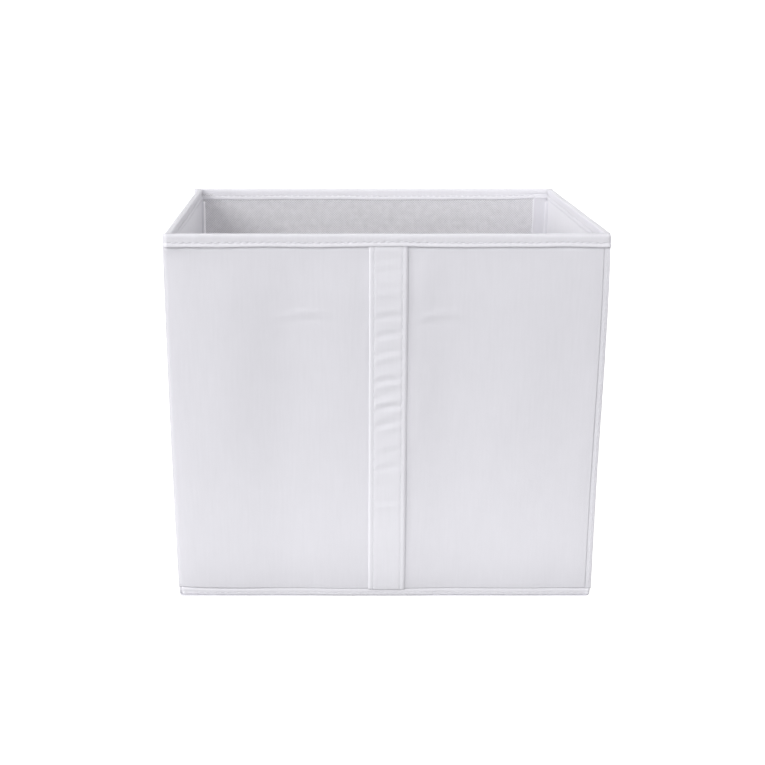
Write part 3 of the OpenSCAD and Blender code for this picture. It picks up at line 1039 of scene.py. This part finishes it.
def make_insert():
    """The covered board: a thin pillow with a stitched margin and rounded corners."""
    half_w, half_d, half_t = INSERT_HALF
    x = spaced(-1, 1, 0.035, fine=0.004, zone=0.08)
    xx, yy = grid(x, x)
    px, py = xx * half_w, yy * half_d
    radius = 1.5
    over_x, over_y = np.abs(px) - (half_w - radius), np.abs(py) - (half_d - radius)
    in_corner = (over_x > 0) & (over_y > 0)
    far = np.maximum(np.hypot(over_x, over_y), 1e-6)
    pull = np.where(in_corner, np.maximum(over_x, over_y) / far, 1.0)
    px = np.sign(px) * (half_w - radius + over_x * pull)
    py = np.sign(py) * (half_d - radius + over_y * pull)
    inset = np.minimum((1 - np.abs(xx)) * half_w, (1 - np.abs(yy)) * half_d)
    line = np.exp(-((inset - INSERT_LINE) / 0.9) ** 2)
    rim = np.sqrt(np.clip(1 - (1 - np.clip(inset / 1.6, 0, 1)) ** 2, 0, 1))
    top = half_t * (0.25 + 0.75 * rim) - 0.35 * line - 0.12 + 0.10 * ripples(px, py, 96, 70)
    upper = INSERT_MID + np.stack([px, py, top], -1)
    lower = INSERT_MID + np.stack([px, py, -half_t * (0.25 + 0.75 * rim)], -1)
    return closed_sheet("insert_cover", upper, lower, px, py, lining_mat)


cover = finish_piece(make_insert(), "base_insert", "lining", "insert_top_cover", "insert_bottom_cover")


def insert_rows():
    """The four rows of stitches on the insert's upper side."""
    half = INSERT_HALF - INSERT_LINE
    rows = []
    for axis in (0, 1):
        places = stitch_places(-half[axis] + 1, half[axis] - 1)
        for sign in (-1, 1):
            p = np.zeros((len(places), 3))
            p[:, axis] = INSERT_MID[axis] + places
            p[:, 1 - axis] = INSERT_MID[1 - axis] + sign * half[1 - axis]
            p[:, 2] = insert_high[2] - 0.42
            ahead, up = np.eye(3)[[axis, 2]]
            rows.append((p, np.tile(ahead, (len(p), 1)), np.tile(up, (len(p), 1))))
    return rows


finish_piece(stitches("insert_stitches", insert_rows()), "base_insert", "thread", "insert_stitching")
board_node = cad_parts["insert_board"]
board_node.data.materials.clear()
board_node.data.materials.append(cardboard("insert_board_card", BOARD, on_cad=True))


# ---- floor, light, camera ----

stage_look = Look(bpy.data.materials.new("pale_floor"))
stage_look.set(Base_Color=(0.30, 0.30, 0.30, 1), Emission_Color=(1, 1, 1, 1), Emission_Strength=0.86,
               Roughness=0.9, Specular_IOR_Level=0.1)
bpy.ops.mesh.primitive_plane_add(size=30, location=(0, 0, 0))
floor = bpy.context.object
floor.name = "floor"
floor.data.materials.append(stage_look.owner)
floor.visible_diffuse = False       # the studio's light, not the white floor, fills the cube from below

sky = Look(bpy.data.worlds.new("studio"), "Background")
bpy.context.scene.world = sky.owner
upwards = sky.add("SeparateXYZ", Vector=sky.add("TexCoord").outputs["Generated"]).outputs["Z"]
level = sky.add("MapRange", Value=upwards, From_Min=-1, From_Max=1).outputs[0]
ramp = sky.add("ValToRGB", Fac=level)       # a white horizon between dimmer halves
stops = ramp.color_ramp.elements
stops[0].position, stops[1].position = 0.44, 0.475
for place in (0.54, 0.66):
    stops.new(place)
for stop, grey in zip(stops, (0.24, 1.0, 1.0, 0.46)):
    stop.color = (grey, grey, grey, 1)
sky.set(Color=ramp.outputs["Color"], Strength=1.12)


def add_lamp(name, kind, energy):
    """A light and the object that holds it."""
    light = bpy.data.lights.new(name, kind)
    light.energy = energy
    return light, add_object(name, light)


# Broad soft lights: the direction each one comes from, its strength and its spread in degrees
for name, towards, strength, spread in (
        ("key_light", (-0.64, -0.57, 0.52), 1.76, 34),
        ("side_light", (-0.96, -0.25, 0.05), 1.50, 12),
        ("fill_light", (0.68, -0.50, 0.54), 0.84, 80),
        ("back_light", (0.25, 0.60, 0.75), 0.10, 90),
        ("low_back_light", (0.40, 0.90, 0.10), 0.90, 40)):
    light, lamp = add_lamp(name, "SUN", strength)
    light.angle = math.radians(spread)
    lamp.rotation_euler = Vector(towards).to_track_quat("Z", "Y").to_euler()

glow, glow_lamp = add_lamp("floor_glow", "AREA", 0.12)      # light off the floor just in front
glow.shape, glow.size, glow.size_y = "RECTANGLE", 0.46, 0.12
glow_lamp.location, glow_lamp.rotation_euler = (0, -0.235, 0.003), (math.pi, 0, 0)
glow_lamp.visible_camera = False

camera = bpy.data.cameras.new("camera")
camera.sensor_width = 36
camera.lens = 59.5
camera.shift_x = 0.0744
eye = add_object("camera", camera)
eye.location = (-0.0473, -1.0853, 0.4571)
eye.rotation_euler = (math.radians(90 - 16.06), 0, 0)
bpy.context.scene.camera = eye
bpy.context.scene.view_settings.view_transform = "Standard"
